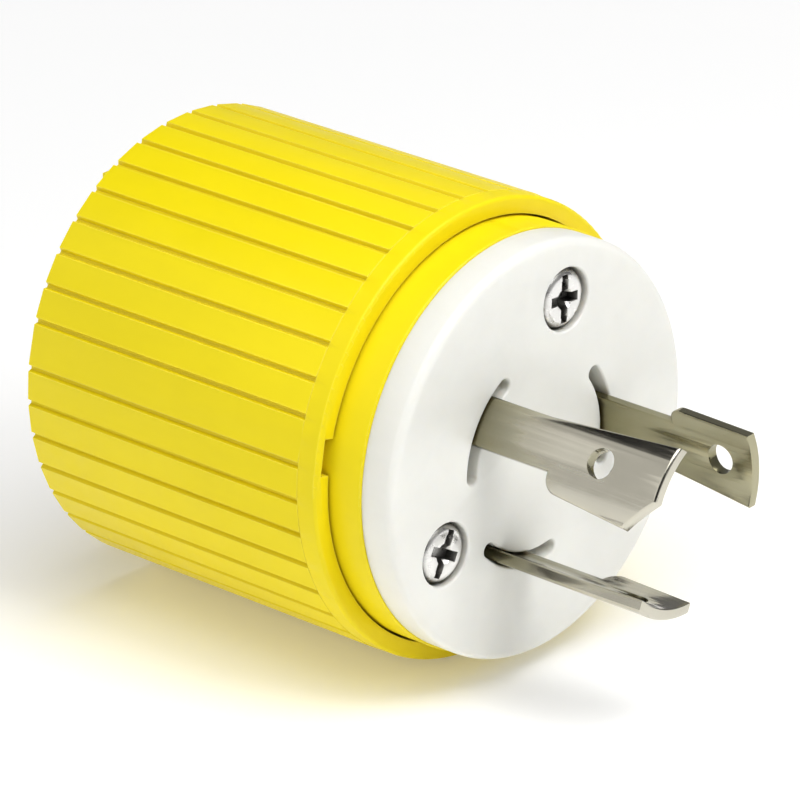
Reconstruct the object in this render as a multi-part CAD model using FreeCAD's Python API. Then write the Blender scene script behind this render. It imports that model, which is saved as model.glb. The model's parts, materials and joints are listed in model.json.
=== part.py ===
"""Locking plug head with three blades, a ribbed shell and a rear cord clamp.

The plug's axis is +X, towards the blades, and +Z is up. The origin is the middle of the front face.
Around the axis, an angle of 0 is +Y and 90 is +Z. Lengths are in millimetres, angles in degrees.
Each sub-part that repeats around the axis is made at angle 0, where +Y is radial and +Z is
tangential, and is then turned to its place.
"""
import FreeCAD, Part
import math
import os

V = FreeCAD.Vector
X_AXIS, Y_AXIS, Z_AXIS = V(1, 0, 0), V(0, 1, 0), V(0, 0, 1)
ORIGIN = V(0, 0, 0)

# Shell: a ribbed cylinder, open at the front and walled at the rear
SHELL_R = 28.0              # to the corners of the rib tops
PARTING_ANGLE = 167.25      # one of the two parting lines between the halves of its mould
HALF_GROOVES = 20           # in each half
PARTING_RIB = 11.8          # between the grooves on each side of a parting line, in degrees
GROOVE_DEPTH = 0.5
GROOVE_MOUTH = 0.85
GROOVE_FLOOR = 0.35
MOUTH_X = -9.3              # front rim of the shell
SHELL_LENGTH = 46.2
LIP_LENGTH = 2.8            # plain front lip, where no groove runs
LIP_R = 27.9
LIP_ROUND = 0.5
MOUTH_BORE_R = 25.8
BORE_R = 25.0
REAR_WALL = 3.0
REAR_X = MOUTH_X - SHELL_LENGTH
KEY_ANGLE = 170.0
KEYWAY_R = 26.6             # along the bore
LIP_NOTCH_R = 27.0          # where the keyway opens in the lip
KEYWAY_WIDTH = 4.4

# Front: white face body, yellow collar, rear insulator
FACE_R = 25.25
FACE_DISC = 4.6             # thickness of the disc that stands in front of the collar
FACE_EDGE = 1.1             # rounding of its front edge
OPENING_ROUND = 0.3         # on the rims of the openings in the face
SPIGOT_R = 22.85
FACE_REAR_X = -16.0
COLLAR_R = 25.5
COLLAR_ROUND = 0.2
COLLAR_BORE_R = 23.0
COLLAR_REAR_X = -20.0
BODY_R = 24.4
BODY_REAR_X = -36.0
SEAT_GAP = 0.3              # between the pieces that slide out and the shell they seat in

# Blades: arcs about the plug's axis, with a locking ear at the head
BLADE_R = 12.3
BLADE_T = 1.4
NECK_HALF = 15.0            # half width of the neck, in degrees
HEAD_FLARE = 22.0           # from the neck's middle to the head's clockwise corner
EAR_REACH = 26.0            # from the neck's middle to the ear's edge
EAR_X = 10.9
FLARE_X = 8.7               # where the clockwise edge starts to slant outwards
EAR_CORNER = 1.6
BLADE_HOLE_X = 17.8
BLADE_HOLE_ANGLE = 1.0
BLADE_HOLE_R = 1.8
# angle, length, and how far the blade and its terminal stand out beyond that circle
BLADES = {"ground": (145.5, 26.7, 0.0), "line": (2.5, 22.6, 0.0), "neutral": (249.0, 22.5, 1.5)}
GROUND_EAR_REACH = 32.0     # the ground blade's ear widens to this towards the tip
GROUND_TIP_SLANT = (4.0, 11.5)      # its ear's corner is cut back this far, from this angle on
EAR_TAPER = 2.0             # the other ears narrow by this angle towards the tip
HOOK_DEPTH = 2.4            # the ground blade's inward leg
HOOK_SETBACK = 2.5
OUTER_ROUND = 0.4           # on the edges of the blades' outer side
INNER_ROUND = 0.2
SLOT_GAP = 0.2
SLOT_SPARE = 1.0            # beyond the widest head at each end, in degrees

# Terminals: a foot on each blade, a clamp plate over it and a screw through both
FOOT_LENGTH = 14.6
FOOT_WIDTH = 11.0
POCKET_WIDTH = 13.2
POCKET_FLOOR_R = 10.4
SCREW_X = -24.6
PLATE_GAP = 0.3
PLATE_T = 1.6
PLATE_LENGTH = 11.4
PLATE_WIDTH = 10.0
PLATE_CORNER = 0.6
TERMINAL_HEAD_R = 3.9
TERMINAL_HEAD_T = 2.6
TERMINAL_REACH = 7.0        # from the head's underside to the tip

# Screws of one thread size, about the length and head that each place needs
SCREW_R = 2.05
THREAD_BORE_R = 2.1
CLEAR_R = 2.35
RECESS_ARM = 0.6            # half width of the arms of a cross recess
SLOT_HALF = 0.5
TIP_BEVEL = 0.5
ASSEMBLY_ANGLES = {"upper": 76.0, "left": 206.0, "right": 328.0}
# the way each screw's slot points at rest, from the radial direction
ASSEMBLY_SPIN = {"upper": 12.0, "left": 38.0, "right": -20.0}
ASSEMBLY_R = 17.9
ASSEMBLY_HEAD_R = 3.65
ASSEMBLY_HEAD_T = 2.2
ASSEMBLY_HEAD_X = -0.3      # front of the heads
COUNTERBORE_R = 3.85
ASSEMBLY_TIP_X = -46.0
WASHER_R = 4.4
WASHER_T = 0.8
BOSS_R = 4.6
INSERT_R = 3.2
INSERT_LENGTH = 9.0

# Rear: grommet in the wall, two jaws behind it between two cheeks
CORD_R = 8.8                # bore of the grommet
GROMMET_R = 12.0
GROMMET_FLANGE_R = 13.0
GROMMET_FLANGE_T = 2.5
JAW_GAP = 2.0               # from the axis plane to each jaw
JAW_R = 17.5
JAW_DEPTH = 12.5
JAW_HALF = 16.2             # half height
JAW_T = 7.8
JAW_BACKLASH = 0.3
SADDLE_R = 9.4
SADDLE_GROOVE_R = 10.3
CLAMP_Z = 12.8
CLAMP_HEAD_R = 3.3
CLAMP_HEAD_T = 2.2
CLAMP_HEAD_Y = 10.0
CLAMP_TIP_Y = -14.2
CLAMP_INSERT_R = 3.0
CLAMP_INSERT_Y = (-11.3, -8.3)
TONGUE = (1.7, 2.0)         # height and width of the jaw's tongue
CHEEK_HALF = 7.0
CHEEK_T = 3.5


def tube_x(x0, x1, radius, y=0.0, z=0.0):
    """A cylinder along +X from x0 to x1."""
    return Part.makeCylinder(radius, x1 - x0, V(x0, y, z), X_AXIS)


def tube_y(y0, y1, radius, x=0.0, z=0.0):
    """A cylinder along +Y from y0 to y1."""
    return Part.makeCylinder(radius, y1 - y0, V(x, y0, z), Y_AXIS)


def box(x0, x1, y0, y1, z0, z1):
    return Part.makeBox(x1 - x0, y1 - y0, z1 - z0, V(x0, y0, z0))


def turned(shape, angle):
    """The shape turned about the plug's axis."""
    copy = shape.copy()
    copy.rotate(ORIGIN, X_AXIS, angle)
    return copy


def placed(shape, angle, outward):
    """A shape made about +Y, moved outwards and then turned to the angle."""
    shape.translate(V(0, outward, 0))
    return turned(shape, angle)


def edges_at_x(shape, x, least=0.0, most=1e9):
    """The edges that lie in the plane at x and have a length between least and most."""
    return [e for e in shape.Edges if least < e.Length < most
            and all(abs(v.Point.x - x) < 1e-6 for v in e.Vertexes) and abs(e.CenterOfMass.x - x) < 1e-6]


def edges_at_radius(shape, radius, x_from):
    """The edges that lie on a cylinder about the plug's axis, in front of x_from."""
    def off(edge):
        points = edge.discretize(5)
        return max(abs(math.hypot(p.y, p.z) - radius) for p in points)
    return [e for e in shape.Edges if off(e) < 1e-4 and e.CenterOfMass.x > x_from]


def fuse(shapes):
    return shapes[0].fuse(shapes[1:]).removeSplitter()


def save(name, solids):
    """Writes one node. A group of separate solids is written as a compound."""
    shape = solids[0] if len(solids) == 1 else Part.makeCompound(solids)
    shape.exportStep(f"parts/{name}.step")


def cross_recess(front, radius, depth):
    """Cutter for a combination recess: a cross with a cone at its middle, and a slot along +Y."""
    arm = radius * 0.62
    across = box(front - depth, front + 1, -arm, arm, -RECESS_ARM, RECESS_ARM)
    upright = box(front - depth, front + 1, -RECESS_ARM, RECESS_ARM, -arm, arm)
    slot = box(front - depth * 0.6, front + 1, -radius * 0.8, radius * 0.8, -SLOT_HALF, SLOT_HALF)
    middle = Part.makeCone(RECESS_ARM * 0.5, RECESS_ARM * 2.2, depth, V(front - depth, 0, 0), X_AXIS)
    return fuse([across, upright, slot, middle])


def screw(tip, seat, front, head_r):
    """A domed-head screw along +X, with its thread drawn as a plain shank."""
    shank = tube_x(tip, seat, SCREW_R)
    shank = shank.makeChamfer(TIP_BEVEL, edges_at_x(shank, tip, SCREW_R))
    head = tube_x(seat, front, head_r)
    head = head.makeFillet((front - seat) * 0.5, edges_at_x(head, front, head_r))
    return fuse([shank, head]).cut(cross_recess(front, head_r, (front - seat) * 0.75))


def screw_on_y(tip, seat, front, head_r, x, z):
    """The same screw with its head towards +Y."""
    made = screw(tip, seat, front, head_r)
    made.rotate(ORIGIN, Z_AXIS, 90)
    made.translate(V(x, 0, z))
    return made


def groove_angles():
    """Middle of each groove: even steps in each half of the mould, a wider rib on the parting lines."""
    step = (180.0 - PARTING_RIB) / (HALF_GROOVES - 1)
    return [half + PARTING_RIB / 2 + groove * step
            for half in (PARTING_ANGLE, PARTING_ANGLE + 180.0) for groove in range(HALF_GROOVES)]


def ribbed_profile():
    """Closed outline of the ribbed shell: grooves with sloping sides, and flat rib tops between them."""
    floor_r = SHELL_R - GROOVE_DEPTH
    half_mouth = math.asin(GROOVE_MOUTH / 2 / SHELL_R)
    half_floor = math.asin(GROOVE_FLOOR / 2 / floor_r)
    points = []
    for middle in groove_angles():
        for radius, offset in ((SHELL_R, -half_mouth), (floor_r, -half_floor),
                               (floor_r, half_floor), (SHELL_R, half_mouth)):
            angle = math.radians(middle) + offset
            points.append(V(REAR_X, radius * math.cos(angle), radius * math.sin(angle)))
    return Part.makePolygon(points + points[:1])


def boss():
    """A boss for one assembly screw, with a web to the shell's wall."""
    front = BODY_REAR_X - SEAT_GAP
    web = box(REAR_X + REAR_WALL, front, ASSEMBLY_R, BORE_R + 0.5, -2.0, 2.0)
    return fuse([tube_x(REAR_X + REAR_WALL, front, BOSS_R, ASSEMBLY_R), web])


def boss_holes():
    """The bore for an insert, and the clearance behind it for the screw's tip."""
    front = BODY_REAR_X - SEAT_GAP
    return fuse([tube_x(front - INSERT_LENGTH, front + 1, INSERT_R, ASSEMBLY_R),
                 tube_x(ASSEMBLY_TIP_X - 2.0, front, CLEAR_R, ASSEMBLY_R)])


def cheeks():
    """Two cheeks on the rear wall, each with a groove for the jaws' tongues."""
    inner = JAW_HALF + JAW_BACKLASH
    rear = REAR_X - JAW_T - JAW_BACKLASH
    middle = jaw_middle_x()
    half_groove = TONGUE[1] / 2 + JAW_BACKLASH
    made = []
    for side in (1, -1):
        z0, z1 = sorted((side * inner, side * (inner + CHEEK_T)))
        cheek = box(rear, REAR_X, -CHEEK_HALF, CHEEK_HALF, z0, z1)
        g0, g1 = sorted((side * (inner - 1), side * (inner + TONGUE[0])))
        made.append(cheek.cut(box(middle - half_groove, middle + half_groove,
                                  -CHEEK_HALF - 1, CHEEK_HALF + 1, g0, g1)))
    return made


def jaw_middle_x():
    return REAR_X - JAW_BACKLASH - JAW_T / 2


def outer_shell():
    ribbed = Part.Face(ribbed_profile()).extrude(V(SHELL_LENGTH - LIP_LENGTH, 0, 0))
    lip = tube_x(MOUTH_X - LIP_LENGTH, MOUTH_X, LIP_R)
    lip = lip.makeFillet(LIP_ROUND, edges_at_x(lip, MOUTH_X, LIP_R))
    shell = ribbed.fuse(lip)
    shell = shell.cut(tube_x(COLLAR_REAR_X - SEAT_GAP, MOUTH_X + 1, MOUTH_BORE_R))
    shell = shell.cut(tube_x(REAR_X + REAR_WALL, MOUTH_X + 1, BORE_R))
    shell = shell.cut(tube_x(REAR_X - 1, MOUTH_X, GROMMET_R))
    half_key = KEYWAY_WIDTH / 2
    for x0, top in ((COLLAR_REAR_X - SEAT_GAP, KEYWAY_R), (MOUTH_X - LIP_LENGTH + 0.4, LIP_NOTCH_R)):
        shell = shell.cut(turned(box(x0, MOUTH_X + 1, BORE_R - 1, top, -half_key, half_key), KEY_ANGLE))
    bosses = [turned(boss(), angle) for angle in ASSEMBLY_ANGLES.values()]
    shell = shell.fuse(bosses + cheeks())
    for angle in ASSEMBLY_ANGLES.values():
        shell = shell.cut(turned(boss_holes(), angle))
    return shell


def blade_outline(length, x_rear, ground):
    """Prism over one blade's flattened outline, from the plug's axis outwards."""
    middle_r = BLADE_R - BLADE_T / 2

    def across(angle):
        return middle_r * math.sin(math.radians(angle))

    if ground:
        ear_tip = [(length, across(GROUND_TIP_SLANT[1])),
                   (length - GROUND_TIP_SLANT[0], across(GROUND_EAR_REACH))]
    else:
        ear_tip = [(length, across(EAR_REACH - EAR_TAPER))]
    corners = [(x_rear, across(-NECK_HALF)), (FLARE_X, across(-NECK_HALF)), (length, across(-HEAD_FLARE))]
    corners += ear_tip
    corners += [(EAR_X, across(EAR_REACH)), (EAR_X, across(NECK_HALF)), (x_rear, across(NECK_HALF))]
    points = [V(x, 0, z) for x, z in corners]
    prism = Part.Face(Part.makePolygon(points + points[:1])).extrude(V(0, BLADE_R + 1, 0))
    ear_z = across(EAR_REACH)
    ear_edge = [e for e in prism.Edges if abs(e.CenterOfMass.x - EAR_X) < 1e-6
                and abs(e.CenterOfMass.z - ear_z) < 1e-6 and e.Length > BLADE_R]
    return prism.makeFillet(EAR_CORNER, ear_edge)


def hook(length):
    """The ground blade's leg, along the flared edge of the head and towards the axis."""
    middle_r = BLADE_R - BLADE_T / 2
    z_neck = -middle_r * math.sin(math.radians(NECK_HALF))
    z_head = -middle_r * math.sin(math.radians(HEAD_FLARE))
    slope = (z_head - z_neck) / (length - FLARE_X)
    edge = [(x, z_neck + slope * (x - FLARE_X)) for x in (EAR_X, length - HOOK_SETBACK)]
    points = [V(x, 0, z) for x, z in edge] + [V(x, 0, z + BLADE_T) for x, z in reversed(edge)]
    outer = BLADE_R * math.cos(math.radians(HEAD_FLARE)) - BLADE_T / 2
    strip = Part.Face(Part.makePolygon(points + points[:1]))
    strip.translate(V(0, outer - HOOK_DEPTH, 0))
    return strip.extrude(V(0, HOOK_DEPTH, 0))


def blade(length, ground):
    """One blade with its foot, at angle 0."""
    rear = FACE_REAR_X - 1.0
    arc = tube_x(rear, length, BLADE_R).cut(tube_x(rear - 1, length + 1, BLADE_R - BLADE_T))
    arc = arc.common(blade_outline(length, rear, ground))
    arc = arc.makeFillet(OUTER_ROUND, edges_at_radius(arc, BLADE_R, rear + 0.1))
    arc = arc.makeFillet(INNER_ROUND, edges_at_radius(arc, BLADE_R - BLADE_T, rear + 0.1))
    foot = box(FACE_REAR_X - FOOT_LENGTH, FACE_REAR_X - 0.1, BLADE_R - BLADE_T, BLADE_R,
               -FOOT_WIDTH / 2, FOOT_WIDTH / 2)
    pieces = [arc, foot] + ([hook(length)] if ground else [])
    made = fuse(pieces)
    hole = turned(tube_y(0, BLADE_R + 1, BLADE_HOLE_R, BLADE_HOLE_X), BLADE_HOLE_ANGLE)
    made = made.cut(hole)
    return made.cut(tube_y(0, BLADE_R + 1, THREAD_BORE_R, SCREW_X))


def blade_slot():
    """Cutter through the face for one blade: wide enough to pass its head, with round ends."""
    inner_r = BLADE_R - BLADE_T - SLOT_GAP
    rear = FACE_REAR_X - 1
    middle_r = BLADE_R - BLADE_T / 2
    wedge_r = BLADE_R + 4
    corners = [V(rear, 0, 0)]
    ends = []
    for angle in (math.radians(-HEAD_FLARE - SLOT_SPARE), math.radians(GROUND_EAR_REACH + SLOT_SPARE)):
        corners.append(V(rear, wedge_r * math.cos(angle), wedge_r * math.sin(angle)))
        ends.append(tube_x(rear, 1, BLADE_T / 2 + SLOT_GAP, middle_r * math.cos(angle),
                           middle_r * math.sin(angle)))
    wedge = Part.Face(Part.makePolygon(corners + corners[:1])).extrude(V(1 - rear, 0, 0))
    ring = tube_x(rear, 1, BLADE_R + SLOT_GAP).cut(tube_x(rear - 1, 2, inner_r))
    return fuse([ring.common(wedge)] + ends)


def face_body():
    disc = tube_x(-FACE_DISC, 0, FACE_R)
    disc = disc.makeFillet(FACE_EDGE, edges_at_x(disc, 0, FACE_R))
    face = fuse([disc, tube_x(FACE_REAR_X, -FACE_DISC, SPIGOT_R)])
    for angle, _, outward in BLADES.values():
        face = face.cut(placed(blade_slot(), angle, outward))
    seat = ASSEMBLY_HEAD_X - ASSEMBLY_HEAD_T - 0.1
    for angle in ASSEMBLY_ANGLES.values():
        face = face.cut(turned(tube_x(seat, 1, COUNTERBORE_R, ASSEMBLY_R), angle))
        face = face.cut(turned(tube_x(FACE_REAR_X - 1, 1, CLEAR_R, ASSEMBLY_R), angle))
    return face.makeFillet(OPENING_ROUND, edges_at_x(face, 0, most=FACE_R * 4))


def front_collar():
    ring = tube_x(COLLAR_REAR_X, -FACE_DISC, COLLAR_R)
    ring = ring.makeFillet(COLLAR_ROUND, edges_at_x(ring, -FACE_DISC, COLLAR_R))
    key = box(COLLAR_REAR_X + 0.4, MOUTH_X - 4.0, COLLAR_BORE_R + 1, KEYWAY_R - SEAT_GAP,
              -KEYWAY_WIDTH / 2 + SEAT_GAP, KEYWAY_WIDTH / 2 - SEAT_GAP)
    ring = fuse([ring, turned(key, KEY_ANGLE)])
    return ring.cut(tube_x(COLLAR_REAR_X - 1, 0, COLLAR_BORE_R))


def terminal_body():
    """The insulator behind the face, with an open pocket for each terminal."""
    body = fuse([tube_x(COLLAR_REAR_X, FACE_REAR_X, SPIGOT_R), tube_x(BODY_REAR_X, COLLAR_REAR_X, BODY_R)])
    half = POCKET_WIDTH / 2
    for angle, _, outward in BLADES.values():
        pocket = box(BODY_REAR_X - 1, FACE_REAR_X + 1, POCKET_FLOOR_R, BODY_R + 1, -half, half)
        tip_room = tube_y(BLADE_R - TERMINAL_REACH, BLADE_R, SCREW_R + 0.5, SCREW_X)
        body = body.cut(placed(fuse([pocket, tip_room]), angle, outward))
    for angle in ASSEMBLY_ANGLES.values():
        body = body.cut(turned(tube_x(BODY_REAR_X - 1, FACE_REAR_X + 1, CLEAR_R, ASSEMBLY_R), angle))
        body = body.cut(turned(tube_x(FACE_REAR_X - WASHER_T - 0.2, FACE_REAR_X + 1, WASHER_R + 0.1,
                                      ASSEMBLY_R), angle))
    return body


def clamp_plate():
    """The plate that presses a wire on the blade's foot, with serrations on its inner side."""
    inner = BLADE_R + PLATE_GAP
    half = PLATE_WIDTH / 2
    plate = box(SCREW_X - PLATE_LENGTH / 2, SCREW_X + PLATE_LENGTH / 2, inner, inner + PLATE_T, -half, half)
    corners = [e for e in plate.Edges if abs(e.CenterOfMass.y - inner - PLATE_T / 2) < 1e-6]
    plate = plate.makeFillet(PLATE_CORNER, corners)
    for step in (-2, -1, 1, 2):
        ridge_x = SCREW_X + step * PLATE_LENGTH / 5.5
        plate = plate.cut(box(ridge_x - 0.35, ridge_x + 0.35, inner - 1, inner + 0.35, -half - 1, half + 1))
    return plate.cut(tube_y(inner - 1, inner + PLATE_T + 1, CLEAR_R, SCREW_X))


def terminal_screw():
    seat = BLADE_R + PLATE_GAP + PLATE_T
    return screw_on_y(seat - TERMINAL_REACH, seat, seat + TERMINAL_HEAD_T, TERMINAL_HEAD_R, SCREW_X, 0)


def insert_sleeve(length, radius):
    """A threaded sleeve along +X from 0, with two grooves around it."""
    sleeve = tube_x(0, length, radius)
    for share in (0.35, 0.65):
        groove = tube_x(share * length - 0.3, share * length + 0.3, radius + 1)
        groove = groove.cut(tube_x(0, length, radius - 0.3))
        sleeve = sleeve.cut(groove)
    return sleeve.cut(tube_x(-1, length + 1, THREAD_BORE_R))


def shell_inserts():
    made = []
    for angle in ASSEMBLY_ANGLES.values():
        sleeve = insert_sleeve(INSERT_LENGTH, INSERT_R)
        sleeve.translate(V(BODY_REAR_X - SEAT_GAP - INSERT_LENGTH, ASSEMBLY_R, 0))
        made.append(turned(sleeve, angle))
    return made


def screw_washers():
    rear = FACE_REAR_X - WASHER_T - 0.1
    washer = tube_x(rear, rear + WASHER_T, WASHER_R, ASSEMBLY_R)
    washer = washer.cut(tube_x(rear - 1, rear + 2, SCREW_R + 0.08, ASSEMBLY_R))
    return [turned(washer, angle) for angle in ASSEMBLY_ANGLES.values()]


def assembly_screw(spin):
    seat = ASSEMBLY_HEAD_X - ASSEMBLY_HEAD_T
    made = turned(screw(ASSEMBLY_TIP_X, seat, ASSEMBLY_HEAD_X, ASSEMBLY_HEAD_R), spin)
    made.translate(V(0, ASSEMBLY_R, 0))
    return made


def cord_grommet():
    inner_x = REAR_X + REAR_WALL
    ring = fuse([tube_x(REAR_X, inner_x, GROMMET_R),
                 tube_x(inner_x, inner_x + GROMMET_FLANGE_T, GROMMET_FLANGE_R)])
    return ring.cut(tube_x(REAR_X - 1, inner_x + GROMMET_FLANGE_T + 1, CORD_R))


def clamp_jaw(side):
    """One jaw, on the side of +Y or -Y, with a grooved saddle and a tongue at each end."""
    front = REAR_X - JAW_BACKLASH
    rear = front - JAW_T
    middle = jaw_middle_x()
    y0, y1 = sorted((side * JAW_GAP, side * JAW_DEPTH))
    jaw = box(rear, front, y0, y1, -JAW_HALF, JAW_HALF).common(tube_x(rear, front, JAW_R))
    for end in (1, -1):
        z0, z1 = sorted((end * (JAW_HALF - 1), end * (JAW_HALF + TONGUE[0] - JAW_BACKLASH)))
        t0, t1 = sorted((side * JAW_GAP, side * (JAW_GAP + 4.4)))
        jaw = jaw.fuse(box(middle - TONGUE[1] / 2, middle + TONGUE[1] / 2, t0, t1, z0, z1))
    jaw = jaw.cut(tube_x(rear - 1, front + 1, SADDLE_R))
    for step in (-1, 0, 1):
        groove_x = middle + step * JAW_T * 0.3
        jaw = jaw.cut(tube_x(groove_x - 0.6, groove_x + 0.6, SADDLE_GROOVE_R))
    for z in (CLAMP_Z, -CLAMP_Z):
        jaw = jaw.cut(tube_y(-JAW_DEPTH - 1, JAW_DEPTH + 1, CLEAR_R, middle, z))
        if side > 0:
            jaw = jaw.cut(tube_y(CLAMP_HEAD_Y, JAW_DEPTH + 1, CLAMP_HEAD_R + 0.3, middle, z))
        else:
            jaw = jaw.cut(tube_y(-JAW_DEPTH - 1, CLAMP_INSERT_Y[1], CLAMP_INSERT_R, middle, z))
    return jaw.removeSplitter()


def clamp_inserts():
    made = []
    for z in (CLAMP_Z, -CLAMP_Z):
        sleeve = insert_sleeve(CLAMP_INSERT_Y[1] - CLAMP_INSERT_Y[0], CLAMP_INSERT_R)
        sleeve.rotate(ORIGIN, Z_AXIS, 90)
        sleeve.translate(V(jaw_middle_x(), CLAMP_INSERT_Y[0], z))
        made.append(sleeve)
    return made


def clamp_screw(z):
    return screw_on_y(CLAMP_TIP_Y, CLAMP_HEAD_Y, CLAMP_HEAD_Y + CLAMP_HEAD_T, CLAMP_HEAD_R, jaw_middle_x(), z)


def main():
    os.makedirs("parts", exist_ok=True)
    save("outer_shell", [outer_shell()])
    save("shell_inserts", shell_inserts())
    save("cord_grommet", [cord_grommet()])
    save("front_collar", [front_collar()])
    save("face_body", [face_body()])
    save("terminal_body", [terminal_body()])
    save("screw_washers", screw_washers())
    for name, (angle, length, outward) in BLADES.items():
        save(f"{name}_blade", [placed(blade(length, name == "ground"), angle, outward)])
        save(f"{name}_clamp_plate", [placed(clamp_plate(), angle, outward)])
        save(f"{name}_terminal_screw", [placed(terminal_screw(), angle, outward)])
    for name, angle in ASSEMBLY_ANGLES.items():
        save(f"assembly_screw_{name}", [turned(assembly_screw(ASSEMBLY_SPIN[name]), angle)])
    save("clamp_jaw_right", [clamp_jaw(1)])
    save("clamp_jaw_left", [clamp_jaw(-1)])
    save("clamp_inserts", clamp_inserts())
    save("clamp_screw_upper", [clamp_screw(CLAMP_Z)])
    save("clamp_screw_lower", [clamp_screw(-CLAMP_Z)])


main()
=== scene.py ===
import bmesh
import bpy
import json
import math
from mathutils import Matrix, Vector


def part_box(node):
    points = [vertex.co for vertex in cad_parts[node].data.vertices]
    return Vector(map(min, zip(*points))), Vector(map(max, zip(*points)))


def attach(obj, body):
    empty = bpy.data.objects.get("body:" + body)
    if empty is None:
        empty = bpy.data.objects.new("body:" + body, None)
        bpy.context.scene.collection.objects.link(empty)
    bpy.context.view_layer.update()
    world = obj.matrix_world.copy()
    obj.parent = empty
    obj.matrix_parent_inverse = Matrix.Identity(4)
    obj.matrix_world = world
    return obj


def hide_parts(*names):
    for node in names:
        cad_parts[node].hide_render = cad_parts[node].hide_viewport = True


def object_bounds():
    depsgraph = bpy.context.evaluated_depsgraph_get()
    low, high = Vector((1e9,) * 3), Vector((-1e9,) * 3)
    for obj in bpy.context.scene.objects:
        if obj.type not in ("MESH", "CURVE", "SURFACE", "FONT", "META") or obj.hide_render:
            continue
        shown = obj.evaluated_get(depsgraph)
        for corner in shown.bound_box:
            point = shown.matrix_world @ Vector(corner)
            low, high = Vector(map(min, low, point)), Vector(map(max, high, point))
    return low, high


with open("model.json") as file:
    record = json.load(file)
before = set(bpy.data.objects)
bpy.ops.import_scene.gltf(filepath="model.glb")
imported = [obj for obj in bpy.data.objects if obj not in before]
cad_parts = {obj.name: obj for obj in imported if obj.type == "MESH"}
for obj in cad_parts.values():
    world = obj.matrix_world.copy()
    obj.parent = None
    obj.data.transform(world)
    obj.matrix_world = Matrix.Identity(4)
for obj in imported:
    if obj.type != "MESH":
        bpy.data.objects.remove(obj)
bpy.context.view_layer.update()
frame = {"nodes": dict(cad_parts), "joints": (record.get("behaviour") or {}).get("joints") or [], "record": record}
NODES = frame["nodes"]
SLOT_OF = {s["node"]: s["material_slot"] for s in frame["record"]["subparts"]}

# The shell gives the camera its scale and its aim. All lengths are in metres.
SHELL_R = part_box("outer_shell")[1].z
SHELL_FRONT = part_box("outer_shell")[1].x


def add_object(name, data):
    made = bpy.data.objects.new(name, data)
    bpy.context.scene.collection.objects.link(made)
    return made


# ---------------------------------------------------------------- camera
AZIMUTH = math.radians(42.47)       # 0 looks along +Y, with +X to the right
ELEVATION = math.radians(22.51)
CAMERA_DISTANCE = 25 * SHELL_R
AIM_LEFT = 0.331 * SHELL_R          # of the middle of the shell's front rim, in the picture
AIM_UP = 0.122 * SHELL_R
LENS_MM = 271.9
SENSOR_MM = 36


def add_camera():
    right = Vector((math.cos(AZIMUTH), math.sin(AZIMUTH), 0))
    back = Vector((math.sin(AZIMUTH) * math.cos(ELEVATION), -math.cos(AZIMUTH) * math.cos(ELEVATION),
                   math.sin(ELEVATION)))
    up = back.cross(right)
    aim = Vector((SHELL_FRONT, 0, 0)) - AIM_LEFT * right + AIM_UP * up
    data = bpy.data.cameras.new("camera")
    data.lens = LENS_MM
    data.sensor_width = SENSOR_MM
    data.clip_start, data.clip_end = 0.05, 50
    camera = add_object("camera", data)
    turn = Matrix((right, up, back)).transposed().to_4x4()
    camera.matrix_world = Matrix.Translation(aim + CAMERA_DISTANCE * back) @ turn
    bpy.context.scene.camera = camera


add_camera()

# ---------------------------------------------------------------- node helpers
# Sockets of a colour Mix node, whose names repeat for each type of data
MIX_SHARE, MIX_A, MIX_B, MIX_RESULT = 0, 6, 7, 2


class Graph:
    """A short way to write a material's nodes."""

    def __init__(self, tree):
        self.tree = tree
        tree.nodes.clear()

    def node(self, kind, inputs=None, **settings):
        made = self.tree.nodes.new(kind)
        for name, value in settings.items():
            setattr(made, name, value)
        for name, value in (inputs or {}).items():
            self.put(made, name, value)
        return made

    def put(self, node, name, value):
        socket = node.inputs[name]
        if isinstance(value, bpy.types.NodeSocket):
            self.tree.links.new(value, socket)
        else:
            socket.default_value = value

    def coords(self, scale=(1, 1, 1)):
        place = self.node("ShaderNodeTexCoord").outputs["Object"]
        return self.node("ShaderNodeMapping", {"Vector": place, "Scale": scale}).outputs["Vector"]

    def noise(self, scale, detail=3.0, rough=0.5, stretch=(1, 1, 1), distortion=0.0):
        inputs = {"Vector": self.coords(stretch), "Scale": scale, "Detail": detail, "Roughness": rough,
                  "Distortion": distortion}
        return self.node("ShaderNodeTexNoise", inputs).outputs["Fac"]

    def span(self, value, low, high, to_low, to_high):
        """Maps low..high to to_low..to_high, and goes no further at either end."""
        inputs = {"Value": value, "From Min": low, "From Max": high, "To Min": to_low, "To Max": to_high}
        return self.node("ShaderNodeMapRange", inputs, clamp=True).outputs["Result"]

    def add(self, a, b):
        return self.node("ShaderNodeMath", {0: a, 1: b}, operation="ADD").outputs[0]

    def multiply(self, a, b):
        return self.node("ShaderNodeMath", {0: a, 1: b}, operation="MULTIPLY").outputs[0]

    def dot(self, a, b):
        inputs = {0: a, 1: b}
        return self.node("ShaderNodeVectorMath", inputs, operation="DOT_PRODUCT").outputs["Value"]

    def mix(self, share, a, b):
        inputs = {MIX_SHARE: share, MIX_A: a, MIX_B: b}
        return self.node("ShaderNodeMix", inputs, data_type="RGBA").outputs[MIX_RESULT]

    def bump(self, height, distance, strength=1.0, normal=None):
        inputs = {"Height": height, "Distance": distance, "Strength": strength}
        if normal is not None:
            inputs["Normal"] = normal
        return self.node("ShaderNodeBump", inputs).outputs["Normal"]

    def edges(self, radius):
        """1 on the flats, less on an edge, from how far a rounded normal turns away."""
        soft = self.node("ShaderNodeBevel", {"Radius": radius}, samples=4).outputs["Normal"]
        plain = self.node("ShaderNodeNewGeometry").outputs["Normal"]
        return self.dot(soft, plain)

    def cavity(self, distance):
        """1 in the open, less where other surfaces are within the distance."""
        return self.node("ShaderNodeAmbientOcclusion", {"Distance": distance}, samples=6).outputs["AO"]


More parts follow.
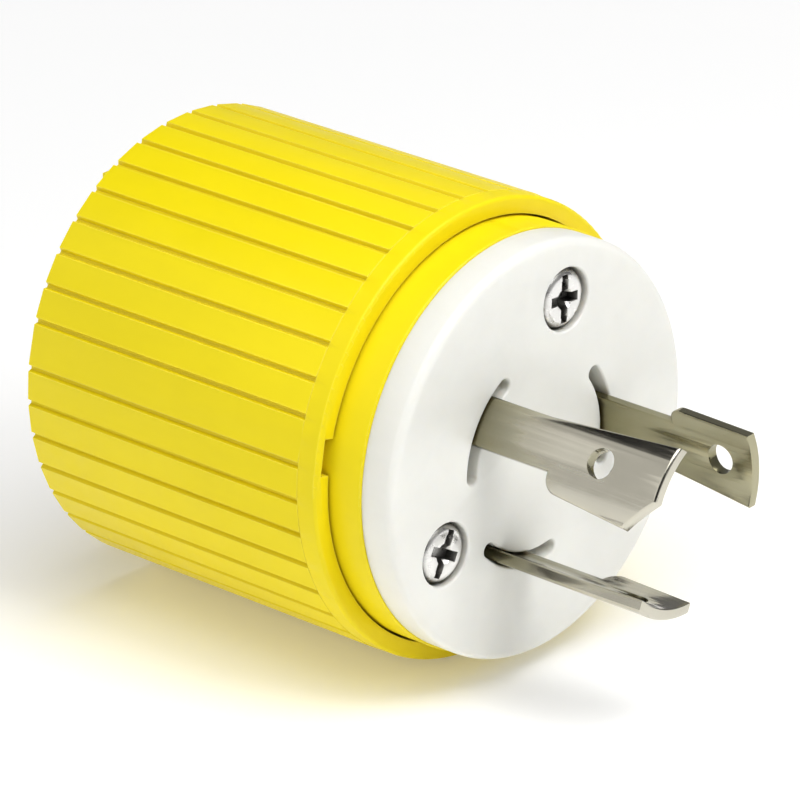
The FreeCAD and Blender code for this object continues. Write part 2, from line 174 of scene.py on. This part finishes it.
def rgba(colour, gain=1.0):
    return tuple(min(1.0, c * gain) for c in colour) + (1.0,)


def new_material(name):
    made = bpy.data.materials.new(name)
    made.use_nodes = True
    return made, Graph(made.node_tree)


def finish_material(graph, inputs):
    shader = graph.node("ShaderNodeBsdfPrincipled", inputs)
    graph.node("ShaderNodeOutputMaterial", {"Surface": shader.outputs["BSDF"]})


# ---------------------------------------------------------------- materials
EDGE_WEAR_AND_HIGHLIGHT = 0.00022         # radius of the edges that are painted paler, partly as wear and partly as a painted highlight
CREVICE = 0.0012            # reach of the shade in grooves and corners
NEAR_SHADE_REACH = 0.014       # how near other surfaces are where a metal gets a painted shade
SUBSURFACE_DEPTH = 0.0012
SUBSURFACE_RADIUS = (1.0, 0.9, 0.75)
RUBBER_BLOOM = (0.16, 0.16, 0.155)


def plastic(name, colour, dark, worn_and_highlight, rough, grain, subsurface=0.0, gloss=0.5):
    """Moulded plastic: mottled colour with flow lines, edges painted paler as wear and as a painted highlight,
    painted shade in crevices, a fine grain over a coarse one, and a satin finish with smoother patches."""
    made, g = new_material(name)
    mottle = g.span(g.noise(scale=70, detail=4, rough=0.6), 0.3, 0.7, 0, 1)
    tone = g.mix(mottle, rgba(colour, 0.955), rgba(colour))
    flow = g.noise(scale=260, detail=2, rough=0.5, stretch=(0.25, 1, 1), distortion=0.6)
    tone = g.mix(g.span(flow, 0.35, 0.7, 0, 0.35), tone, rgba(colour, 1.035))
    # edges painted paler: partly wear, partly a painted highlight along each edge
    edge = g.span(g.edges(EDGE_WEAR_AND_HIGHLIGHT), 0.9, 0.995, 1, 0)
    tone = g.mix(g.multiply(edge, 0.55), tone, rgba(worn_and_highlight))
    # painted shade: darker in grooves and corners, where other surfaces are near
    crevice = g.span(g.cavity(CREVICE), 0.2, 0.85, 0.6, 0)
    tone = g.mix(crevice, tone, rgba(dark))
    fine = g.noise(scale=grain, detail=3, rough=0.55)
    coarse = g.noise(scale=grain * 0.12, detail=2, rough=0.5)
    normal = g.bump(coarse, distance=0.00006, strength=0.35)
    normal = g.bump(fine, distance=0.00002, strength=0.5, normal=normal)
    patches = g.noise(scale=420, detail=3, rough=0.6)
    roughness = g.span(patches, 0.3, 0.7, rough * 0.86, rough * 1.15)
    inputs = {"Base Color": tone, "Roughness": roughness, "Normal": normal, "IOR": 1.53,
              "Specular IOR Level": gloss}
    if subsurface:
        inputs.update({"Subsurface Weight": subsurface, "Subsurface Scale": SUBSURFACE_DEPTH,
                       "Subsurface Radius": SUBSURFACE_RADIUS})
    finish_material(g, inputs)
    return made


def metal(name, colour, dark, rough, stretch=(1, 1, 1), brush=900, waviness=0.3, crevice=CREVICE,
          near_shade=None):
    """Plated or bare metal: cloudy colour, drawing lines, wavy sheet, a few scratches, painted shade in crevices.
    The last argument is the colour of a painted shade that it takes where other surfaces are close."""
    made, g = new_material(name)
    cloud = g.noise(scale=110, detail=3, rough=0.6)
    tone = g.mix(g.span(cloud, 0.3, 0.7, 0, 1), rgba(colour, 0.93), rgba(colour, 1.04))
    if near_shade:
        # painted shade: darker and more olive where other surfaces are close, such as near the face
        near = g.span(g.cavity(NEAR_SHADE_REACH), 0.55, 0.95, 0.9, 0)
        tone = g.mix(near, tone, rgba(near_shade))
    # painted shade: darker in crevices and recesses
    crevice_shade = g.span(g.cavity(crevice), 0.3, 0.95, 0.9, 0)
    tone = g.mix(crevice_shade, tone, rgba(dark))
    lines = g.noise(scale=brush, detail=2, rough=0.6, stretch=stretch)
    scratch_stretch = (stretch[0] * 1.5, stretch[1], stretch[2])
    scratches = g.noise(scale=brush * 0.3, detail=1, rough=0.4, stretch=scratch_stretch, distortion=0.8)
    scratch = g.span(scratches, 0.70, 0.73, 0, 1)
    roughness = g.span(lines, 0.3, 0.7, rough * 0.7, rough * 1.35)
    roughness = g.add(roughness, g.multiply(scratch, 0.12))
    roughness = g.add(roughness, g.span(cloud, 0.45, 0.75, 0, rough * 0.5))
    normal = g.bump(g.noise(scale=85, detail=2, rough=0.4), distance=0.0004, strength=waviness)
    normal = g.bump(lines, distance=0.000006, strength=0.4, normal=normal)
    finish_material(g, {"Base Color": tone, "Metallic": 1.0, "Roughness": roughness, "Normal": normal})
    return made


def rubber(name, colour, rough):
    """Rubber or fibre: dull, grainy, with a pale bloom."""
    made, g = new_material(name)
    bloom = g.span(g.noise(scale=140, detail=4, rough=0.65), 0.4, 0.75, 0, 0.4)
    tone = g.mix(bloom, rgba(colour), rgba(RUBBER_BLOOM))
    normal = g.bump(g.noise(scale=2600, detail=3, rough=0.6), distance=0.00003, strength=0.6)
    roughness = g.span(g.noise(scale=300, detail=3), 0.3, 0.7, rough * 0.9, rough * 1.1)
    finish_material(g, {"Base Color": tone, "Roughness": roughness, "Normal": normal, "IOR": 1.5})
    return made


def blade_metal(name, colour, rough, waviness):
    """Plated strip, drawn along X."""
    # the blades get painted shade in crevices and where other surfaces are close
    return metal(name, colour, dark=(0.20, 0.17, 0.10), rough=rough, stretch=(0.03, 1, 1), brush=1900,
                 waviness=waviness, near_shade=(0.19, 0.175, 0.085))


MATERIALS = {
    "yellow_nylon": plastic("yellow_nylon", colour=(0.90, 0.735, 0.006), dark=(0.62, 0.47, 0.004),
                            worn_and_highlight=(0.97, 0.88, 0.14), rough=0.38, grain=2600, gloss=0.18),
    "white_nylon": plastic("white_nylon", colour=(0.87, 0.868, 0.815), dark=(0.52, 0.50, 0.43),
                           worn_and_highlight=(0.92, 0.92, 0.89), rough=0.34, grain=2400, subsurface=0.35),
    "black_nylon": plastic("black_nylon", colour=(0.022, 0.022, 0.024), dark=(0.01, 0.01, 0.01),
                           worn_and_highlight=(0.06, 0.06, 0.06), rough=0.42, grain=2600),
    "nickel_brass": blade_metal("nickel_brass", colour=(0.56, 0.535, 0.45), rough=0.15, waviness=0.10),
    "bare_brass": metal("bare_brass", colour=(0.80, 0.60, 0.27), dark=(0.35, 0.22, 0.08), rough=0.26,
                        stretch=(0.03, 1, 1), brush=1900),
    "plated_steel": metal("plated_steel", colour=(0.84, 0.83, 0.80), dark=(0.035, 0.032, 0.025),
                          rough=0.30, waviness=0.08, crevice=0.0024),
    "green_steel": metal("green_steel", colour=(0.10, 0.42, 0.16), dark=(0.04, 0.14, 0.05), rough=0.30),
    "brass_steel": metal("brass_steel", colour=(0.78, 0.60, 0.27), dark=(0.30, 0.20, 0.08), rough=0.22),
    "neoprene": rubber("neoprene", colour=(0.030, 0.030, 0.030), rough=0.72),
    "fibre": rubber("fibre", colour=(0.36, 0.07, 0.03), rough=0.80),
}

# The line blade is painted duller and more olive than the other two, as a painted shade
NODE_MATERIALS = {
    "line_blade": blade_metal("nickel_brass_olive", colour=(0.40, 0.375, 0.25), rough=0.17, waviness=0.06),
}

# ---------------------------------------------------------------- CAD nodes
BEVELS = {"outer_shell": 0.00016, "face_body": 0.00008, "front_collar": 0.00012, "terminal_body": 0.00018,
          "clamp_jaw_right": 0.0004, "clamp_jaw_left": 0.0004, "cord_grommet": 0.0003}
PLAIN_BEVEL = 0.00007
WELD_DISTANCE = 0.000002


def bevel_edges(piece, width, segments, degrees):
    bevel = piece.modifiers.new("edges", "BEVEL")
    bevel.width = width
    bevel.segments = segments
    bevel.limit_method = "ANGLE"
    bevel.angle_limit = math.radians(degrees)
    return bevel


def soften(node):
    """Rounds a CAD node's edges: its split corners are welded, its flats joined, its edges bevelled."""
    weld = node.modifiers.new("weld", "WELD")
    weld.merge_threshold = WELD_DISTANCE
    flat = node.modifiers.new("flats", "DECIMATE")
    flat.decimate_type = "DISSOLVE"
    flat.angle_limit = math.radians(0.5)
    bevel = bevel_edges(node, BEVELS.get(node.name, PLAIN_BEVEL), segments=3, degrees=28)
    bevel.harden_normals = True
    for polygon in node.data.polygons:
        polygon.use_smooth = True


for name, node in NODES.items():
    node.data.materials.clear()
    node.data.materials.append(NODE_MATERIALS.get(name, MATERIALS[SLOT_OF[name]]))
    soften(node)

# ---------------------------------------------------------------- threaded screws
THREAD_PITCH = 0.000794     # 32 threads to the inch
THREAD_DEPTH = 0.00036
THREAD_R = 0.00205          # at the crests, which is the radius of the CAD shanks
FLANK_SLOPE = 1.3           # against a plain V's, so that crests and roots are left flat
FLANK_OFFSET = 0.15
RUNOUT_TURNS = 1.5          # over which the thread fades out below the head
RUNOUT_OFFSET = 0.3
POINT_TAPER = 0.0005        # by which the tip is narrower
POINT_LENGTH = 0.0006
RINGS_PER_TURN = 8
SEGMENTS = 24
NECK = 0.0001               # of the CAD shank, kept with its head


def clamp(value):
    return min(1.0, max(0.0, value))


def thread_radius(along, length, share_of_turn):
    """A threaded shank's radius, along from its tip: a V thread, tapered at the tip, fading at the head."""
    phase = (along / THREAD_PITCH - share_of_turn) % 1.0
    flank = clamp(abs(2 * phase - 1) * FLANK_SLOPE - FLANK_OFFSET)
    runout = clamp((length - along) / (RUNOUT_TURNS * THREAD_PITCH) - RUNOUT_OFFSET)
    taper = POINT_TAPER * max(0.0, 1 - along / POINT_LENGTH)
    return THREAD_R - THREAD_DEPTH * flank * runout - taper


def add_shank(mesh, tip, axis, length):
    """A closed threaded shank, from its tip along the axis."""
    side = axis.orthogonal().normalized()
    other = axis.cross(side)
    rings = []
    count = int(length / THREAD_PITCH * RINGS_PER_TURN)
    for i in range(count + 1):
        along = length * i / count
        ring = []
        for k in range(SEGMENTS):
            angle = 2 * math.pi * k / SEGMENTS
            radius = thread_radius(along, length, k / SEGMENTS)
            outward = side * math.cos(angle) + other * math.sin(angle)
            ring.append(mesh.verts.new(tip + axis * along + outward * radius))
        rings.append(ring)
    for lower, upper in zip(rings, rings[1:]):
        for k in range(SEGMENTS):
            n = (k + 1) % SEGMENTS
            mesh.faces.new((lower[k], lower[n], upper[n], upper[k]))
    mesh.faces.new(rings[0][::-1])
    mesh.faces.new(rings[-1])


def threaded_screw(node, joint):
    """A screw with its CAD head and a real thread on its shank, in place of the CAD node."""
    origin, axis = Vector(joint["pos_m"]), Vector(joint["axis"]).normalized()
    reach = [((v.co - origin).dot(axis), (v.co - origin).cross(axis).length) for v in node.data.vertices]
    tip = min(along for along, _ in reach)
    head = min(along for along, radius in reach if radius > THREAD_R * 1.2)
    mesh = bmesh.new()
    mesh.from_mesh(node.data)
    bmesh.ops.remove_doubles(mesh, verts=mesh.verts, dist=WELD_DISTANCE)
    everything = mesh.verts[:] + mesh.edges[:] + mesh.faces[:]
    bmesh.ops.bisect_plane(mesh, geom=everything, plane_co=origin + axis * (head - NECK), plane_no=axis,
                           clear_inner=True)
    bmesh.ops.holes_fill(mesh, edges=[e for e in mesh.edges if e.is_boundary])
    add_shank(mesh, origin + axis * tip, axis, head - tip)
    for face in mesh.faces:
        face.smooth = True
    data = bpy.data.meshes.new(node.name + "_threaded")
    mesh.to_mesh(data)
    mesh.free()
    piece = add_object(node.name + "_threaded", data)
    data.materials.append(MATERIALS[SLOT_OF[node.name]])
    bevel_edges(piece, PLAIN_BEVEL, segments=2, degrees=55)
    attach(piece, joint["child"])
    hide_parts(node.name)


for joint in frame["joints"]:
    if joint["type"] == "hinge":
        threaded_screw(NODES[joint["child"]], joint)

# ---------------------------------------------------------------- floor
FLOOR_SIZE = 6
FLOOR_GAP = 0.00002
FLOOR_TONES = (0.94, 0.96)


def add_floor():
    floor_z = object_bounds()[0].z - FLOOR_GAP
    bpy.ops.mesh.primitive_plane_add(size=FLOOR_SIZE, location=(0, 0, floor_z))
    floor = bpy.context.object
    floor.name = "floor"
    material, g = new_material("floor")
    low, high = (rgba((tone, tone, tone)) for tone in FLOOR_TONES)
    tone = g.mix(g.noise(scale=8, detail=2), low, high)
    away = g.node("ShaderNodeVectorMath", {0: g.coords()}, operation="LENGTH").outputs["Value"]
    glow = g.span(away, 0.15, 0.8, 0.17, 0.50)      # brighter where the softboxes don't reach
    finish_material(g, {"Base Color": tone, "Roughness": 0.9, "Specular IOR Level": 0.1,
                        "Emission Color": (1, 1, 1, 1), "Emission Strength": glow})
    floor.data.materials.append(material)


add_floor()

# ---------------------------------------------------------------- light
WORLD_STRENGTH = 0.45
HORIZON = (0.62, 0.62, 0.63)
ZENITH = (1.0, 1.0, 1.0)
FAR_SIDE = (0.42, 0.42, 0.43)
PANELS = [  # bright and dark panels that the metal mirrors: direction, cosines at the edge, tone
    ((-0.62, -0.71, 0.33), (0.68, 0.78), (1.6, 1.59, 1.56, 1)),
    ((-0.62, 0.10, 0.775), (0.855, 0.895), (0.02, 0.02, 0.02, 1)),
    ((0.62, -0.68, 0.38), (0.83, 0.92), (0.03, 0.03, 0.03, 1)),
]


def softbox(name, place, size, power):
    """A rectangular light, aimed at the origin."""
    data = bpy.data.lights.new(name, "AREA")
    data.shape = "RECTANGLE"
    data.size, data.size_y = size
    data.energy = power
    lamp = add_object(name, data)
    lamp.location = place
    lamp.rotation_mode = "QUATERNION"
    lamp.rotation_quaternion = Vector(place).to_track_quat("Z", "Y")


def add_world():
    """A pale studio, darker low down and on the far side, with the panels."""
    world = bpy.data.worlds.new("world")
    bpy.context.scene.world = world
    world.use_nodes = True
    g = Graph(world.node_tree)
    direction = g.node("ShaderNodeTexCoord").outputs["Generated"]
    parts = g.node("ShaderNodeSeparateXYZ", {"Vector": direction}).outputs
    sky = g.mix(g.span(parts["Z"], -0.05, 0.75, 0, 1), rgba(HORIZON), rgba(ZENITH))
    sky = g.mix(g.span(parts["Y"], -0.2, 0.9, 0, 1), sky, rgba(FAR_SIDE))
    for centre, edge, tone in PANELS:
        nearness = g.dot(direction, Vector(centre).normalized())
        sky = g.mix(g.span(nearness, edge[0], edge[1], 0, 1), sky, tone)
    background = g.node("ShaderNodeBackground", {"Color": sky, "Strength": WORLD_STRENGTH})
    g.node("ShaderNodeOutputWorld", {"Surface": background.outputs["Background"]})


softbox("top_softbox", place=(0.15, -0.05, 0.75), size=(0.9, 0.7), power=4.5)
softbox("key_softbox", place=(0.15, -0.01, 0.21), size=(0.10, 0.10), power=0.25)
softbox("left_softbox", place=(-0.15, -0.75, 0.45), size=(0.6, 0.5), power=0.3)
add_world()

bpy.context.scene.view_settings.view_transform = "Standard"
bpy.context.scene.view_settings.look = "None"
